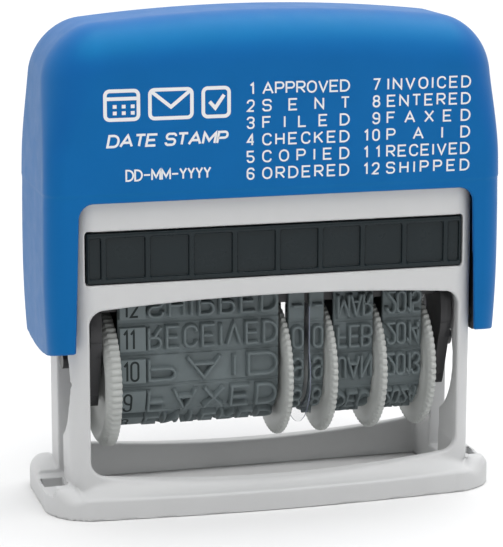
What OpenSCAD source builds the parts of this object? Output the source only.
// Self-inking rotary date stamp: a cap that is pressed down over a frame, a
// carriage of hand-set wheels and rubber bands that turns over inside it, and
// a slide-out ink pad. The origin is the centre of the base on the paper.
// X runs along the print line, -Y is the front and Z is up. Millimetres.

/* [Base] */
// Half of the base's width
base_hw = 37.2; // [36.5:0.1:39]
// Half of the base's depth at its ends
base_hd = 13.9; // [13.5:0.1:16]
// How far the long edges of the base bow out
base_bow = 1.6; // [0.8:0.1:2.4]
// Height of the base's upright rim
rim_h = 3.4; // [2.8:0.1:3.8]

/* [Frame] */
// Half of the frame's outer width
frame_hw = 33.3; // [33.1:0.1:33.4]
// Half of the frame's outer depth
frame_hd = 11.2; // [11.1:0.1:11.3]
// Height of the frame's top edge
frame_top = 52; // [51:0.5:53]
// Half of the width inside the frame
inner_hw = 30.4; // [30.3:0.1:30.6]
// Thickness of the front and back walls
wall_t = 1.4; // [1.2:0.1:1.5]
// Height of the window's top edge at the middle
window_top = 34.2; // [33.8:0.1:34.4]
// Height of the window's lower lip at the middle
lip_h = 4.5; // [4:0.1:4.6]

/* [Cap] */
// Half of the cap's greatest width
cap_hw = 37.4; // [37:0.1:38]
// Half of the cap's depth
cap_hd = 12.5; // [12.4:0.1:13.5]
// Height of the cap's crown at rest
crown_h = 78.9; // [78.5:0.1:81]
// Height of the upper edge of the cap's front cut-out
cutout_z = 50.2; // [48.5:0.1:50.5]
// Radius of the cap's long top edges
top_edge_r = 7; // [4:0.5:8]

/* [Carriage] */
// How far the cap goes down
stroke = 21; // [20.8:0.1:21]
// Height of the turning pins at rest
pivot_z = 28.95; // [28.9:0.05:29]
// Height of the wheel axle at rest
axle_z = 19.8; // [19.7:0.05:19.9]
// Radius of the thumb wheels
wheel_r = 11.25; // [10.8:0.05:11.3]
// Number of teeth on a thumb wheel
teeth = 64; // [48:2:72]
// Radius of the rubber bands over the wheels' drums
band_r = 7.6; // [7.3:0.1:7.6]
// Height of the rubber type above its band
type_h = 0.6; // [0.4:0.05:0.65]

/* [Ink pad] */
// Underside of the pad's tray
tray_z = 37.35; // [37.3:0.05:37.5]
// Height of the pad's tray
tray_h = 8; // [7.5:0.1:8.1]
// Number of full panels on the tray's face
panels = 8; // [6:1:9]

/* [Hidden] */
$fn = 64;
eps = 0.01;
past = 5;                       // how far a cutting body reaches past what it cuts

// colours
shell_blue = [0.13, 0.38, 0.65];
frame_grey = [0.78, 0.79, 0.79];
pad_black = [0.13, 0.14, 0.15];
rubber_grey = [0.33, 0.37, 0.37];
wheel_grey = [0.80, 0.81, 0.79];
steel = [0.70, 0.71, 0.73];

// frame
base_r = 7.6;                   // plan corner of the base
post_r = 3.9;                   // plan corner of the frame
inner_hd = frame_hd - wall_t;
step_h = 0.8;                   // low step between the rim and the walls
window_r = 2.2;                   // corner of the window
window_arch_r = 373;            // radius of the window's top edge
lip_arch_r = 230;               // radius of the window's lower edge
bridge_z = 46.6;                // underside of the bridge over the pad
bridge_top = 48.2;
slot_hw = 2.2;                  // half width of the side walls' guide slot
slot_bottom = 3.6;
slot_top = 31.3;
notch_drop = 1.2;               // notch in the base's top at the foot of each slot
notch_wall = 0.7;               // what the notch leaves of the base's edge
cam_r = 10.6;                   // radius of the cam that bulges from the slot
cam_y = 2.4;
cam_z = 20.9;
rail_w = 1.8;                   // ledges that carry the pad's tray
rail_h = 1.0;
pad_slot_hw = 31.0;
pad_slot_z = tray_z - 0.15;
pad_slot_top = tray_z + tray_h + 0.3;
spring_x = 20;
peg_r = 2.0;
peg_h = 3.0;

// cap
cap_wall = 1.2;
cap_inner_hw = 35.0;
cap_inner_hd = 11.5;
cap_side_r = 2.7;               // upright corners of the cap
cap_end_r = 8.5;                // ends of the crown
cap_inner_end_r = 7.2;
crown_r = 260;                  // arch of the crown
cap_top_hw = 36.3;              // half width just under the crown's ends
cap_wide_z = 40;                // height where the cap is widest
ear_z = 25.2;                   // lowest point of the ears
ear_arch_r = 50;
ear_end_hw = 36.7;              // half width at the ears' lower ends
ear_end_r = 1.6;
cutout_hw = 32.6;
cutout_r = 2.0;

// drive yoke
leg_in = 33.65;
leg_out = 34.8;
leg_hd = 8.6;
leg_z = 25.9;
leg_clear = 0.6;                // between a leg and the frame's walls beside it
beam_z = 73.9;
beam_top = 75.6;

// carriage
pin_r = 2.0;
pin_clear = 0.05;
axle_r = 1.5;
cheek_in = 28.1;
cheek_out = 29.9;
cheek_r = 9.2;                  // cheek around the turning pin
cheek_low_r = 6.2;              // cheek around the axle
cheek_top = 36.0;
cheek_bottom = 16.4;
guide_r = 1.4;
guide_drop = 6.0;               // guide pin below the turning pin
guide_out = 32.9;
band_t = 1.1;
drum_r = band_r - band_t - 0.15;
nose_z = 2 * pivot_z - stroke - type_h;  // the type meets the paper after a half turn
nose_hw = 2.6;
nose_side = 5.6;                // corner between the nose and the shoulder
nose_side_z = 35.5;
shoulder_z = 34.2;              // where the bands leave the upright
platen_t = 3.3;
phrase_row_z = 27.5;            // middle of a row of type on the phrase band
date_row_z = 31.1;              // the same on the other bands
row_pitch = 5.2;
bar_h = 4.2;                    // height of a row of type
bar_side = 0.3;                 // bare rubber at each end of a row
collar_r = 3.2;

// wheels: [left end, right end, rim's left face, rim's right face]
phrase_span = [-27.8, 1.3, -27.8, -25.3];
tens_span = [1.5, 5.6, 1.5, 2.7];
units_span = [6.25, 10.15, 8.95, 10.15];
month_span = [10.35, 18.5, 17.3, 18.5];
year_span = [18.7, 26.8, 25.6, 26.8];
band_gap = 0.15;                // between a band and the wheel's rim
band_end = 0.1;                 // between a band and the end of the wheel's drum
tooth_h = 0.35;
dish = 0.9;                     // depth of the dish in the phrase wheel
dish_rim = 1.9;
divider_x = 5.93;
divider_t = 0.16;
divider_r = 9.5;
divider_hw = 8.6;
divider_h = 11.6;               // above the axle

// ink pad
felt_hw = 27.8;
felt_hd = 8.4;
felt_h = 3.5;
felt_clear = 0.2;
felt_proud = 0.1;               // felt below the tray
panel_end = 2.7;                // width of the narrow panel at each end
panel_rib = 0.85;
panel_edge = 0.9;               // above and below the panels
panel_sink = 0.6;

// springs
wire_r = 0.32;
coil_r = 2.75;
turns = 6;
ring_steps = 16;                // rings to each turn
wire_sides = 6;

// ---------------------------------------------------------------- helpers

// Rounded rectangle about the origin, of true arcs
module round_rect(hw, hh, r) {
    square([2 * hw, 2 * (hh - r)], center = true);
    square([2 * (hw - r), 2 * hh], center = true);
    for (sx = [-1, 1], sy = [-1, 1])
        translate([sx * (hw - r), sy * (hh - r)]) circle(r);
}

// Extrudes a Y-Z outline along X from x0 to x1
module along_x(x0, x1) {
    translate([x0, 0, 0])
        rotate([90, 0, 90])
            linear_extrude(x1 - x0) children();
}

// Extrudes an X-Z outline along Y from -hd to hd
module along_y(hd) {
    translate([0, hd, 0])
        rotate([90, 0, 0])
            linear_extrude(2 * hd) children();
}

// Points on an arc, from angle a0 to a1
function arc(cx, cy, r, a0, a1, n = 10) =
    [for (i = [0:n]) let (a = a0 + (a1 - a0) * i / n) [cx + r * cos(a), cy + r * sin(a)]];

// The same outline mirrored to the left and closed
function mirrored(pts) = concat(pts, [for (i = [len(pts) - 1:-1:0]) [-pts[i][0], pts[i][1]]]);

// ------------------------------------------------------------------ frame

module base_outline() {
    bow_hw = base_hw - base_r;
    bow_r = (bow_hw * bow_hw + base_bow * base_bow) / (2 * base_bow);
    round_rect(base_hw, base_hd, base_r);
    intersection() {
        square([2 * bow_hw, 2 * (base_hd + base_bow)], center = true);
        translate([0, bow_r - base_hd - base_bow]) circle(bow_r, $fn = 400);
        translate([0, base_hd + base_bow - bow_r]) circle(bow_r, $fn = 400);
    }
}

module window_outline() {
    window_low = lip_h + 0.8;
    intersection() {
        translate([0, (window_low + window_top) / 2])
            round_rect(inner_hw, (window_top - window_low) / 2 + 0.4, window_r);
        translate([0, window_top - window_arch_r]) circle(window_arch_r, $fn = 720);
        translate([0, lip_h + lip_arch_r]) circle(lip_arch_r, $fn = 720);
    }
}

// Upright guide slot with the cam that bulges forward from it
module side_slot_outline() {
    translate([-slot_hw, slot_bottom]) square([2 * slot_hw, slot_top - slot_bottom]);
    intersection() {
        translate([cam_y, cam_z]) circle(cam_r);
        translate([-past - cam_r, slot_bottom + 3])
            square([past + cam_r, slot_top - slot_bottom - 3]);
    }
}

module frame() {
    notch_x = base_hw - notch_wall;
    color(frame_grey) difference() {
        union() {
            linear_extrude(rim_h) base_outline();
            linear_extrude(rim_h + step_h)
                round_rect(frame_hw + 1.2, frame_hd + 1.2, post_r + 1.2);
            linear_extrude(frame_top) round_rect(frame_hw, frame_hd, post_r);
        }
        difference() {
            translate([-inner_hw, -inner_hd, -past])
                cube([2 * inner_hw, 2 * inner_hd, frame_top + 2 * past]);
            // bridge over the pad and the ledges under it stay
            translate([-inner_hw - 1, -inner_hd - 1, bridge_z])
                cube([2 * inner_hw + 2, 2 * inner_hd + 2, bridge_top - bridge_z]);
            for (s = [-1, 1])
                translate([s > 0 ? inner_hw - rail_w : -inner_hw - past, -inner_hd - 1,
                           pad_slot_z - rail_h])
                    cube([rail_w + past, 2 * inner_hd + 2, rail_h]);
            for (s = [-1, 1])
                translate([s * spring_x, 0, bridge_z])
                    cylinder(r = peg_r, h = bridge_top - bridge_z + peg_h);
        }
        // window through the front and the back
        along_y(frame_hd + 1) window_outline();
        // slot for the pad
        translate([-pad_slot_hw, -frame_hd - past, pad_slot_z])
            cube([2 * pad_slot_hw, 2 * (frame_hd + past), pad_slot_top - pad_slot_z]);
        // guide slots, and the notches where they meet the base
        for (s = [-1, 1]) {
            along_x(s > 0 ? inner_hw - 1 : -frame_hw - past, s > 0 ? frame_hw + past : 1 - inner_hw)
                side_slot_outline();
            translate([s > 0 ? inner_hw - 1 : -notch_x, -slot_hw, rim_h - notch_drop])
                cube([notch_x - inner_hw + 1, 2 * slot_hw, past]);
            // low ends that the drive yoke comes down over
            translate([s > 0 ? inner_hw - 1 : -frame_hw - 1, -leg_hd - leg_clear, bridge_top])
                cube([frame_hw - inner_hw + 2, 2 * (leg_hd + leg_clear), frame_top]);
        }
    }
}

// -------------------------------------------------------------------- cap

// Right half of the cap's face, from the ear's end to the crown
function cap_side_points() = concat(
    [[0, ear_z - 1]],
    arc(ear_end_hw - ear_end_r, ear_z + ear_end_r - 1, ear_end_r, -90, 0, 6),
    [[cap_hw - 0.1, cap_wide_z - 6], [cap_hw, cap_wide_z], [cap_hw - 0.3, cap_wide_z + 12]],
    arc(cap_top_hw - cap_end_r, crown_z(cap_top_hw - cap_end_r) - cap_end_r, cap_end_r, 0, 84),
    [for (x = [26:-2:0]) [x, crown_z(x)]]);

function crown_z(x) = crown_h - crown_r + sqrt(crown_r * crown_r - x * x);

module cap_profile_y() {
    ear_side_z = ear_z + ear_arch_r - sqrt(ear_arch_r * ear_arch_r - cap_hd * cap_hd);
    intersection() {
        polygon(mirrored(concat(
            [[0, ear_z - 1], [cap_hd, ear_z - 1]],
            arc(cap_hd - top_edge_r, crown_h - top_edge_r, top_edge_r, 0, 90))));
        union() {
            translate([0, ear_z + ear_arch_r]) circle(ear_arch_r, $fn = 180);
            translate([-cap_hd - 1, ear_side_z]) square([2 * cap_hd + 2, crown_h]);
        }
    }
}

module cap_shell() {
    inner_edge = top_edge_r - cap_wall;
    color(shell_blue) difference() {
        intersection() {
            along_y(cap_hd) polygon(mirrored(cap_side_points()));
            along_x(-cap_hw, cap_hw) cap_profile_y();
            linear_extrude(crown_h + 1) round_rect(cap_hw, cap_hd, cap_side_r);
        }
        // hollow
        intersection() {
            along_y(cap_inner_hd) polygon(mirrored(concat(
                [[0, 0], [cap_inner_hw, 0]],
                arc(cap_inner_hw - cap_inner_end_r, crown_z(27) - cap_wall - 0.2 - cap_inner_end_r,
                    cap_inner_end_r, 0, 84),
                [for (x = [25:-5:0]) [x, crown_z(x) - cap_wall - 0.2]])));
            along_x(-cap_hw, cap_hw) polygon(mirrored(concat(
                [[0, 0], [cap_inner_hd, 0]],
                arc(cap_inner_hd - inner_edge, crown_h - cap_wall - inner_edge, inner_edge, 0, 90))));
        }
        // cut-outs in front and behind
        along_y(cap_hd + 1) {
            translate([0, cutout_z / 2]) round_rect(cutout_hw, cutout_z / 2, cutout_r);
            translate([-cutout_hw, 0]) square([2 * cutout_hw, cutout_z / 2]);
        }
    }
}

// Black U inside the cap, whose legs carry the turning pins
module drive_yoke() {
    outer = [[leg_out, leg_z], [leg_out, beam_top - 5.9], [leg_out - 2.3, beam_top - 2.1],
             [leg_out - 6.4, beam_top], [0, beam_top]];
    inner = [[0, beam_z], [leg_in - 5.6, beam_z], [leg_in - 2.2, beam_z - 1.7],
             [leg_in, beam_z - 4.9], [leg_in, leg_z]];
    half = concat(outer, inner);
    color(pad_black) difference() {
        for (s = [-1, 1])
            along_y(leg_hd) polygon([for (p = half) [s * p[0], p[1]]]);
        for (s = [-1, 1])
            along_x(s > 0 ? leg_in - 1 : -leg_out - 1, s > 0 ? leg_out + 1 : 1 - leg_in)
                translate([0, pivot_z]) circle(pin_r);
    }
}

module pivot_pin(s) {
    x0 = s > 0 ? cheek_in : -leg_out;
    color(steel) along_x(x0, x0 + leg_out - cheek_in) translate([0, pivot_z]) circle(pin_r);
}

// ---------------------------------------------------------------- springs

spring_low = bridge_top + wire_r + 0.02;
spring_high = beam_z - wire_r - 0.02;
ring_count = turns * ring_steps;

function ring(i) =
    let (a = 360 * i / ring_steps, z = spring_low + (spring_high - spring_low) * i / ring_count)
    [for (k = [0:wire_sides - 1])
        let (b = 360 * k / wire_sides, r = coil_r + wire_r * cos(b))
        [r * cos(a), r * sin(a), z + wire_r * sin(b)]];

module coil_spring(s) {
    points = [for (i = [0:ring_count]) each ring(i)];
    walls = [for (i = [0:ring_count - 1], k = [0:wire_sides - 1])
        let (n = (k + 1) % wire_sides, a = i * wire_sides, b = a + wire_sides)
        each [[a + k, b + k, b + n], [a + k, b + n, a + n]]];
    first = [for (k = [0:wire_sides - 1]) k];
    last = [for (k = [wire_sides - 1:-1:0]) ring_count * wire_sides + k];
    color(steel) translate([s * spring_x, 0, 0]) polyhedron(points, concat([first, last], walls));
}

// ---------------------------------------------------------------- ink pad

module pad_tray() {
    hw = pad_slot_hw - 0.25;
    hd = frame_hd - 0.2;
    pitch = 2 * (hw - panel_end) / panels;
    panel_h = tray_h - 2 * panel_edge;
    recess_hw = felt_hw + felt_clear;
    recess_hd = felt_hd + felt_clear;
    color(pad_black) difference() {
        translate([-hw, -hd, tray_z]) cube([2 * hw, 2 * hd, tray_h]);
        // recess for the felt
        translate([-recess_hw, -recess_hd, tray_z - 1])
            cube([2 * recess_hw, 2 * recess_hd, felt_h + 1]);
        // panels sunk into both long faces
        for (s = [-1, 1], i = [0:panels - 1])
            translate([-hw + panel_end + i * pitch + panel_rib / 2, s * hd - panel_sink,
                       tray_z + panel_edge])
                cube([pitch - panel_rib, 2 * panel_sink, panel_h]);
        for (s = [-1, 1], e = [-1, 1])
            translate([e * (hw - panel_end / 2) - panel_end / 2 + panel_rib / 2, s * hd - panel_sink,
                       tray_z + panel_edge])
                cube([panel_end - panel_rib, 2 * panel_sink, panel_h]);
    }
}

module ink_pad() {
    color([0.08, 0.08, 0.10])
        translate([-felt_hw, -felt_hd, tray_z - felt_proud]) cube([2 * felt_hw, 2 * felt_hd, felt_h]);
}

// --------------------------------------------------------------- carriage

module cheek_outline() {
    intersection() {
        union() {
            translate([0, pivot_z]) circle(cheek_r);
            translate([0, axle_z]) circle(cheek_low_r);
            polygon([[-cheek_r + 0.1, pivot_z - 1.5], [-cheek_low_r + 0.2, axle_z - 1.6],
                     [cheek_low_r - 0.2, axle_z - 1.6], [cheek_r - 0.1, pivot_z - 1.5]]);
        }
        translate([-cheek_r, cheek_bottom]) square([2 * cheek_r, cheek_top - cheek_bottom]);
    }
}

// Side plate of the carriage, with its guide pin on the outside
module cheek(s) {
    color(pad_black) {
        difference() {
            along_x(s > 0 ? cheek_in : -cheek_out, s > 0 ? cheek_out : -cheek_in) cheek_outline();
            along_x(s > 0 ? cheek_in - 1 : -cheek_out - 1, s > 0 ? cheek_out + 1 : 1 - cheek_in) {
                translate([0, pivot_z]) circle(pin_r + pin_clear);
                translate([0, axle_z]) circle(axle_r);
            }
        }
        along_x(s > 0 ? cheek_out - eps : -guide_out, s > 0 ? guide_out : eps - cheek_out)
            translate([0, pivot_z - guide_drop]) circle(guide_r);
    }
}

// Closed loop that a band follows, set in from its outer face
module loop_outline(inset) {
    in = inset * 0.8;
    translate([0, axle_z]) circle(band_r - inset);
    polygon(mirrored([[0, axle_z], [band_r - inset, axle_z], [band_r - inset, shoulder_z - in],
                      [nose_side - in, nose_side_z - inset], [nose_hw - in / 2, nose_z - inset],
                      [0, nose_z - inset]]));
}

module platen() {
    color(pad_black) along_x(-cheek_in, cheek_in) intersection() {
        loop_outline(band_t + 0.1);
        translate([-band_r, nose_z - band_t - 0.1 - platen_t]) square([2 * band_r, 2 * platen_t]);
    }
}

module wheel_axle() {
    color(steel) along_x(-cheek_out, cheek_out) translate([0, axle_z]) circle(axle_r);
}

module axle_collar() {
    color(pad_black) along_x(year_span[1] + 0.2, cheek_in) difference() {
        translate([0, axle_z]) circle(collar_r);
        translate([0, axle_z]) circle(axle_r + pin_clear);
    }
}

// Thumb wheel: a toothed rim and the drum that its band runs on
module thumb_wheel(span, dished) {
    points = [for (i = [0:teeth - 1]) each
        [for (k = [0, 1]) let (a = 360 * (i + k / 2) / teeth, r = wheel_r - k * tooth_h)
            [r * cos(a), r * sin(a)]]];
    color(wheel_grey) difference() {
        union() {
            along_x(span[2], span[3]) translate([0, axle_z]) polygon(points);
            along_x(span[0], span[1]) translate([0, axle_z]) circle(drum_r);
        }
        along_x(span[0] - 1, span[1] + 1) translate([0, axle_z]) circle(axle_r + pin_clear);
        if (dished)
            along_x(span[0] - 1, span[0] + dish) difference() {
                translate([0, axle_z]) circle(wheel_r - dish_rim);
                translate([0, axle_z]) circle(collar_r);
            }
    }
}

// Moves to the band's face at a distance down its front from top_z, round its
// drum and up its back
module on_loop(top_z, distance) {
    run = top_z - axle_z;
    turn = min(max((distance - run) / band_r, 0), PI);
    past = distance - run - turn * band_r;
    translate([0, axle_z]) rotate(turn * 180 / PI) translate([-band_r, -past]) children();
}

// Rubber band with a raised bar for each row of type, spaced from one whose
// middle is at top_z, and one more on its nose
module type_band(x0, x1, top_z) {
    last = floor((top_z + shoulder_z - bar_h / 2 - 2 * axle_z + PI * band_r) / row_pitch);
    color(rubber_grey) {
        along_x(x0, x1) difference() {
            loop_outline(0);
            loop_outline(band_t);
        }
        along_x(x0 + bar_side, x1 - bar_side) {
            intersection() {
                difference() {
                    loop_outline(-type_h);
                    loop_outline(eps);
                }
                for (i = [0:last])
                    on_loop(top_z, i * row_pitch) square([2 * type_h, bar_h], center = true);
            }
            translate([0, nose_z - eps + type_h / 2]) square([bar_h, type_h + 2 * eps], center = true);
        }
    }
}

module band_right_of_rim(span, top_z) {
    type_band(span[3] + band_gap, span[1] - band_end, top_z);
}

module band_left_of_rim(span, top_z) {
    type_band(span[0] + band_end, span[2] - band_gap, top_z);
}

module band_divider() {
    color([0.85, 0.88, 0.90, 0.5]) along_x(divider_x - divider_t / 2, divider_x + divider_t / 2)
        difference() {
            union() {
                translate([0, axle_z]) circle(divider_r);
                translate([-divider_hw, axle_z]) square([2 * divider_hw, divider_h]);
            }
            translate([0, axle_z]) circle(axle_r + pin_clear);
        }
}

// ------------------------------------------------------------- every node

frame();
cap_shell();
drive_yoke();
pivot_pin(-1);  // pivot_pin_left
pivot_pin(1);  // pivot_pin_right
coil_spring(-1);  // spring_left
coil_spring(1);  // spring_right
pad_tray();
ink_pad();
cheek(-1);  // left_cheek
cheek(1);  // right_cheek
platen();
wheel_axle();
axle_collar();
thumb_wheel(phrase_span, true);  // phrase_wheel
thumb_wheel(tens_span, false);  // day_tens_wheel
thumb_wheel(units_span, false);  // day_units_wheel
thumb_wheel(month_span, false);  // month_wheel
thumb_wheel(year_span, false);  // year_wheel
band_right_of_rim(phrase_span, phrase_row_z);  // phrase_band
band_right_of_rim(tens_span, date_row_z);  // day_tens_band
band_left_of_rim(units_span, date_row_z);  // day_units_band
band_left_of_rim(month_span, date_row_z);  // month_band
band_left_of_rim(year_span, date_row_z);  // year_band
band_divider();
